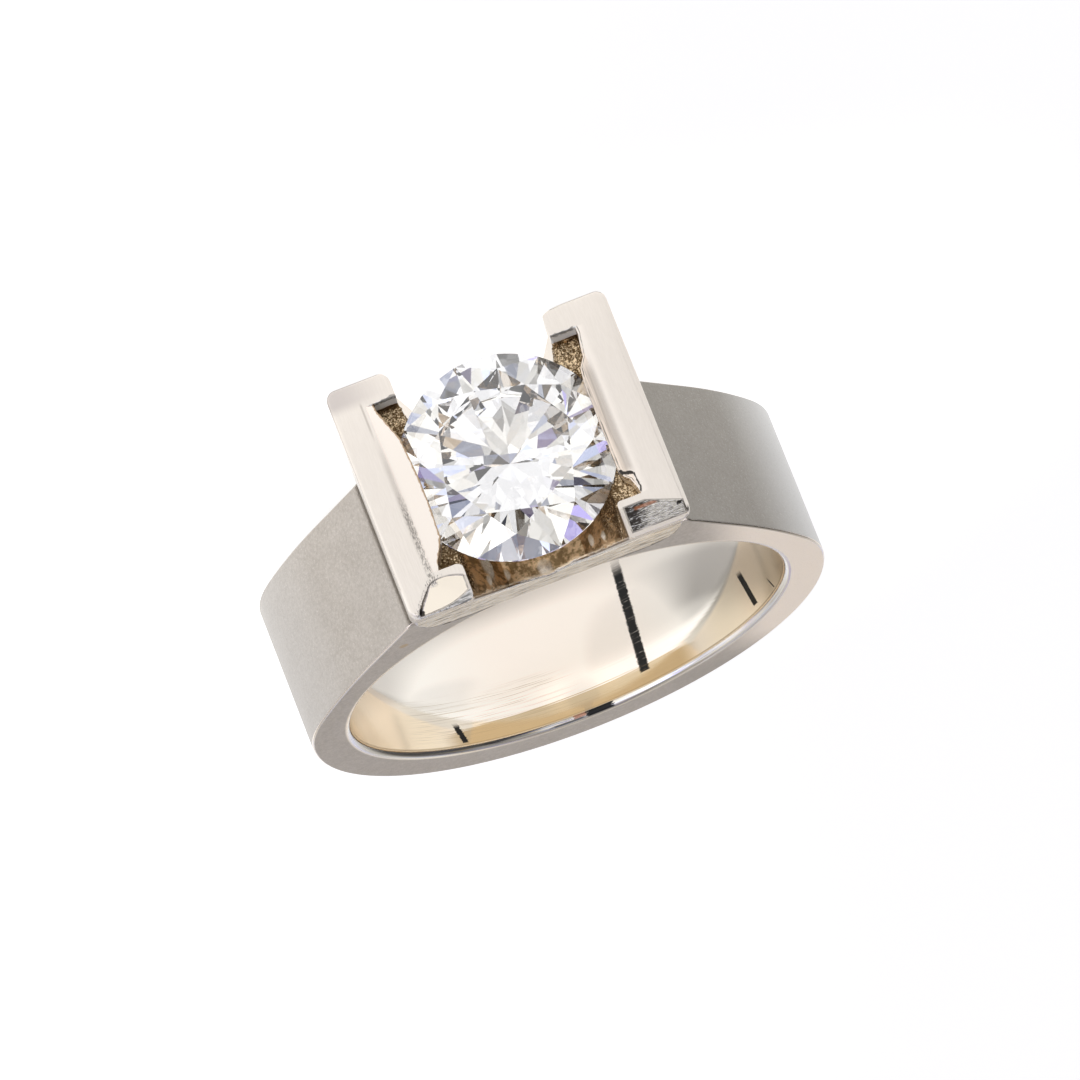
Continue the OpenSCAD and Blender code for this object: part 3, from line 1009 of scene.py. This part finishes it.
def facet_marks(at):
    """The filed facets: the left one pale and worn at its edges, with a painted silver highlight on its
    bevel;
    the right one painted as a grey mirror, with painted dark reflections among its file marks, painted
    highlights along them and a painted reddish reflection; and painted shade in the creases, and pits,
    round both."""
    y, across, left, right, wander = at.y, at.across, at.left, at.right, at.wander
    bow = (across - 3.9) * (across - 3.9) * 0.3
    drop = (4.5 - across).most(0)
    below = y - 4.45 + drop * drop * 0.16
    left_facet = (3.45 + bow - y).most(below).most(3.12 - across)
    left_facet = left_facet.most((across - 4.34) * 0.778 - (y - 3.52) * 0.628)
    right_facet = (3.46 - y).most(y - 4.33).most(3.18 - across).most(across - 5.27)
    right_facet = right_facet.most((across - 4.17) * 0.354 - (y - 3.53) * 0.935)
    outside = left * left_facet + right * right_facet + wander * 0.03
    filed = at.upper * outside.fall(-0.03, 0.0)

    # painted shade in the creases round the facets
    crease = at.upper * outside.near(0.01, at.speck * 0.02, 0.03) * y.step(3.3, 3.4)
    crease = crease * (1 - below.near(0, 0.03, 0.03) * 0.6) * (right * 0.2 + wander + 0.4)
    chafed = left * outside.near(0.07, 0.05, 0.07) * across.step(3.75, 3.95) * at.speck.step(0.48, 0.62)
    left_pit = left * (across + wander * 0.4).near(4.98, 0.05, 0.06) * y.near(4.36, 0.06, 0.06)
    right_pit = (across + wander * 0.5).near(5.14, 0.07, 0.05) * (y + wander * 0.3).near(3.97, 0.03, 0.04)
    marks = stretched(at.place, (5, 34, 5), 3, 0.5, math.radians(-35))
    # the right facet is painted as a mirror: grey, with painted dark reflections, painted highlights
    # along its file marks and a painted reddish reflection
    mirror = filed * right
    shaded = (across + (marks - 0.5) * 2.2 + (y - 3.9) * 0.4).fall(3.45, 4.15)
    return SimpleNamespace(
        filed=filed, crease=crease, mirror=mirror, marks=marks,
        # the bevel under the left facet, painted silver as a highlight
        bevel=left * at.upper * below.step(0.01, 0.04) * across.near(4.1, 1.05, 0.06),
        pits=at.upper * (chafed * 0.7).most(left_pit).most(right * right_pit),
        dark=mirror * shaded.most(marks.fall(0.36, 0.46) * 0.6),
        gleam=mirror * marks.step(0.56, 0.64) * 0.55,
        reddish=mirror * y.near(3.62, 0.03, 0.05) * across.near(3.95, 0.35, 0.15))


def wall_marks(at, bevel):
    """The head's front, plain over most of its height and streaked above and below, with a painted silver
    highlight under the facets; its flanks, its far end, painted in shade on the left bar, and walls; and
    the shaded rim round the bars' tops."""
    y, z, across, left, right = at.y, at.z, at.across, at.left, at.right
    front = (y - at.flare * FRONT_LEAN).step(2.86, 2.9) * z.fall(15.05, 15.15)
    plain = front * z.near(12.4, 1.9, 0.4)
    streaked = front - plain
    streaks = stretched(at.place, (1.5, 14, 14), 4, 0.6)
    mottled = left * (streaked * z.step(14.5, 14.8)).most(bevel) * across.near(3.65, 0.45, 0.25)
    beside = (left * across.near(4.8, 0.4, 0.2)).most(right * across.near(4.6, 0.5, 0.3))
    end = (0 - y).step(4.5, 4.56).most(across.fall(3.0, 3.2) * (0 - y).step(4.0, 4.1))
    rim = z.step(15.3, 15.4) * z.fall(15.525, 15.56) * y.fall(3.3, 3.5)
    return SimpleNamespace(
        plain=plain, streaked=streaked, streaks=streaks,
        # the strip under the facets, painted silver as a highlight
        under_facet=streaked * z.step(14.75, 14.95) * beside,
        mottled=mottled * streaks.fall(0.45, 0.6),
        flank=across.step(5.2, 5.36) * z.fall(14.3, 15.1) * (1 - front),
        far_wall=y.near(-3.65, 0.02, 0.02) * across.near(3.5, 0.5, 0.02) * z.step(14.75, 14.8),
        # painted shade on the left bar's far end
        far_end_shade=left * (0 - y).step(3.6, 4.1) * across.step(2.8, 5.2),
        rim=rim * (left * across.step(5.28, 5.33) * 0.4).most(end))


def head_gold():
    """Brushed bar tops with polished lips, filed facets with painted shade in their creases, light,
    shade, highlights and reflections painted on bars, facets and front, and a brown cast skin inside the
    gallery."""
    material, tree, shader = new_material("white_gold_head")
    at = head_place(tree)
    brush, grain = at.brush, at.grain
    skin = skin_share(at)
    lips = lip_marks(at)
    facets = facet_marks(at)
    walls = wall_marks(at, facets.bevel)
    streaked, streaks = walls.streaked, walls.streaks
    deep = at.z.fall(12.5, 14.5).blend(CAST_SKIN, DEEP_SKIN)
    dark = (lips.scratched * 0.7).most(lips.black).most(facets.pits).most(ragged_edges(at))
    colour = layered(brush.step(0.25, 0.75).blend(DARK_BRUSHED, LIGHT_BRUSHED), [
        (lips.light, LIT_RIDGE),
        (lips.shade, SHADED_BAR),
        (lips.lip, LIP_POLISH),
        (lips.peach * 0.5, PEACH),
        (facets.filed, FILED_GOLD),
        # the bevel under the left facet, painted silver as a highlight
        (facets.bevel, SILVER_HIGHLIGHT),
        (walls.flank * 0.75, HEAD_FLANK),
        (walls.plain, grain.step(0.3, 0.7).blend(DARK_FRONT, LIGHT_FRONT)),
        (streaked, streaks.step(0.35, 0.62).blend(DARK_STREAK, LIGHT_STREAK)),
        (streaked * streaks.fall(0.36, 0.42) * 0.6, TARNISH_AND_SHADE),
        # the strip under the facets, painted silver as a highlight
        (walls.under_facet, SILVER_HIGHLIGHT),
        (walls.mottled * 0.85, MOTTLED),
        (walls.far_wall, PALE_WALL),
        # painted shade on the left bar's far end
        (walls.far_end_shade * 0.8, FAR_END_SHADE),
        # painted shade along the ridges beside the lips
        (lips.soft, SPECK_AND_SHADE_GOLD),
        (walls.rim * 0.75, RIM_SHADE),
        # the right facet painted as a mirror, with its painted reflections and highlights
        (facets.mirror * 0.65, MIRROR_GREY),
        (facets.dark, TARNISH_AND_SHADE),
        (facets.gleam, FILE_GLEAM),
        (facets.reddish * 0.75, RED_REFLECTION),
        # painted shade in the creases round the facets
        (facets.crease, TARNISH_AND_SHADE),
        (dark, TARNISH_AND_SHADE),
        (lips.brown * 0.8, EDGE_BROWN),
        (skin, (grain.step(0.45, 0.7) * at.patches.step(0.35, 0.65)).blend(deep, CAST_GLINT))])
    polished = lips.lip.most(facets.filed).most(streaked * 0.8).most(walls.rim)
    brushed = 1 - polished
    rough = (0.27 + brush * 0.1 + walls.plain * 0.12) * brushed + 0.09 * polished + walls.far_wall * 0.5
    height = skin * grain * 9 + (1 - skin) * (brush * brushed * 0.35 + lips.scratched * 0.8)
    height = height + facets.mirror * facets.marks * 1.5 + streaked * streaks * 0.5
    feed(shader, {"Base Color": colour, "Metallic": 1.0,
                  "Roughness": skin * 0.42 + (1 - skin) * rough,
                  "Normal": raised(height, 0.35, 0.00005)})
    return material


def cast_gold():
    """Unpolished casting: coarse where it is dark brown with golden grains, else a smooth warm brown worn
    in streaks down the trough's walls; its lumps painted pale as the light they catch, and its brink
    painted as a highlight."""
    material, tree, shader = new_material("cast_gallery")
    place, _, y, z = bench_place(tree)
    made = place.node("Attribute", settings={"attribute_name": "skin"})
    coarse, pale = [made.node("SeparateColor", {0: made}, out=k) for k in range(2)]
    grain = stretched(place, (15, 15, 15), 3, 0.75)
    patches = stretched(place, (1.4, 1.4, 1.4), 3)
    worn = stretched(place, (6, 6, 1.2), 3)
    grains = (grain + (patches - 0.5) * 0.3).step(0.50, 0.62)
    # lumps painted pale as the light they catch
    lump = pale.step(0.2, 0.5) * (0.65 + grains * 0.35)
    # the brink painted as a highlight
    brink = (y - (z - FOOT_Z).most(0) * FRONT_LEAN + (patches - 0.5) * 0.1).step(2.78, 2.83)
    colour = layered((worn + patches - 1).step(-0.15, 0.1).blend(WORN_SKIN, DEEP_SKIN), [
        (grain.fall(0.36, 0.44) * 0.3, CAST_SKIN),
        (coarse.step(0.2, 0.6), grains.blend(CAST_SKIN, CAST_GLINT)),
        (lump, LIT_LUMP),
        (brink * 0.8, BRINK_HIGHLIGHT)])
    feed(shader, {"Base Color": colour, "Metallic": 1 - lump * 0.9,
                  "Roughness": 0.48 - grains * 0.18, "Normal": raised(grain, 0.5, 0.00004)})
    return material


def stone_glass():
    """Clear, with a diamond's refraction."""
    material, _, shader = new_material("diamond_facets")
    feed(shader, {"Base Color": (1, 1, 1, 1), "Roughness": 0.0, "IOR": 2.417,
                  "Transmission Weight": 1.0})
    return material


def floor_paper():
    """White acrylic lit a little from below, as product photographs are taken on: its glow painted
    brighter round the ring, where its shadow falls, and towards +x, and dimmed inside the bore as the
    ring's painted shade."""
    material, tree, shader = new_material("floor_paper")
    _, x, _, z = bench_place(tree)
    off = from_axis(x, z)
    inside = off.fall(BORE_R + 0.5, BORE_R + 1.4)
    palm_side = ((z + 4.5) * 0.906 - (x - 6.5) * 0.423).fall(0.3, 5.5)
    palm_side = palm_side * (0.48 + x.near(4.2, 2.4, 1.8) * 0.24)
    sides = x.step(0.0, 2.6).most((0 - x).step(4.2, 6.4) * z.fall(-1, 3))
    # painted shade of the ring dims the glow inside the bore
    shade = inside * palm_side.most(sides * 0.2).most(0.08)
    # painted light: the glow is raised round the ring, where its shadow falls, and towards +x
    glow = 0.70 + 0.18 * off.fall(6, 30) + 0.2 * x.step(-12, 30) + 0.07 * off.near(11, 1.5, 2)
    feed(shader, {"Base Color": (0.48, 0.48, 0.48, 1), "Roughness": 0.9, "Specular IOR Level": 0.1,
                  "Emission Color": glow * (1 - shade), "Emission Strength": 1.0})
    return material


def finish(obj, material, node):
    """Gives a piece its material, and has it ride in place of its node."""
    lay(obj)
    obj.data.materials.clear()
    obj.data.materials.append(material)
    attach(obj, "root")
    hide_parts(node)


def floor():
    half = 0.6
    obj = new_object("floor", [(-half, -half, 0), (half, -half, 0), (half, half, 0), (-half, half, 0)],
                     [(0, 1, 2, 3)])
    obj.data.materials.append(floor_paper())


# The photo's view: where it looks, from which side, and how the picture is turned
AIM = Vector((-0.4032, -0.5286, 3.3174)) * MM
DISTANCE = 446.617 * MM
AZIMUTH = math.radians(-2.1924)
ELEVATION = math.radians(21.791)
ROLL = math.radians(-158.2164)
LENS = 400

WHITE_LIGHT = (1.02, 0.995, 0.945, 1)
BLUE_LIGHT = (0.55, 0.70, 1.25, 1)
AMBER_LIGHT = (1.2, 0.82, 0.40, 1)
VIOLET_LIGHT = (0.36, 0.30, 0.80, 1)


def camera():
    """The photo's camera."""
    data = bpy.data.cameras.new("camera")
    data.lens = LENS
    data.clip_start = 0.01
    data.clip_end = 10
    obj = bpy.data.objects.new("camera", data)
    bpy.context.scene.collection.objects.link(obj)
    look = Vector((math.sin(AZIMUTH) * math.cos(ELEVATION), math.cos(AZIMUTH) * math.cos(ELEVATION),
                   -math.sin(ELEVATION)))
    right = look.cross(Vector((0, 0, 1))).normalized()
    up = right.cross(look)
    top = up * math.cos(ROLL) + right * math.sin(ROLL)
    across = look.cross(top)
    turn = Matrix((across, top, -look)).transposed().to_4x4()
    obj.matrix_world = Matrix.Translation(AIM - look * DISTANCE) @ turn
    bpy.context.scene.camera = obj


def studio():
    """Soft light all round: bright in front and on the left, darker on the right."""
    world = bpy.data.worlds.new("studio")
    bpy.context.scene.world = world
    world.use_nodes = True
    tree = world.node_tree
    sky = tree.nodes["Background"]
    toward = Wire(tree).node("TexCoord")

    def glow(direction, inner, outer):
        """A round glow in one direction, full to so many degrees from it and gone at so many."""
        axis = Vector(direction).normalized()
        facing = toward.node("VectorMath", {0: toward, 1: axis}, {"operation": "DOT_PRODUCT"}, out=1)
        return facing.step(math.cos(math.radians(outer)), math.cos(math.radians(inner)))

    front = glow((0.25, -1, 0.75), 12, 50)
    left = glow((1, -0.2, 0.3), 10, 60)
    back = glow((0.1, 1, 0.3), 10, 60) * 0.85
    top = glow((0, 0, 1), 10, 60) * 0.35
    lens = glow((0.037, -0.928, 0.371), 4, 7)
    panes = toward.node("TexVoronoi", {"Vector": toward, "Scale": 6.0}, out=1)
    dim, cold, amber = [panes.node("SeparateColor", {0: panes}, out=k) for k in range(3)]
    light = (0.08 + front + left + back + top) * (1 - lens * 0.95)
    light = light * (1.1 - dim.fall(0.1, 0.45) * 0.6)
    tint = layered(WHITE_LIGHT, [(cold.step(0.74, 0.8) * 0.5, BLUE_LIGHT),
                                 (amber.step(0.88, 0.92) * 0.6, AMBER_LIGHT),
                                 (cold.fall(0.06, 0.09) * 0.8, VIOLET_LIGHT)])
    light = tint.node("VectorMath", {0: tint, "Scale": light}, {"operation": "SCALE"})
    tree.links.new(light.socket, sky.inputs["Color"])
    sky.inputs["Strength"].default_value = 1.0
    scene = bpy.context.scene
    scene.view_settings.view_transform = "Standard"
    scene.cycles.max_bounces = 14
    scene.cycles.glossy_bounces = 8
    scene.cycles.transmission_bounces = 13


camera()
finish(ring_band(), band_gold(), "gold_mount")
finish(ring_head(), head_gold(), "gold_mount")
finish(cast_skin(), cast_gold(), "gold_mount")
finish(brilliant(), stone_glass(), "diamond")
floor()
studio()
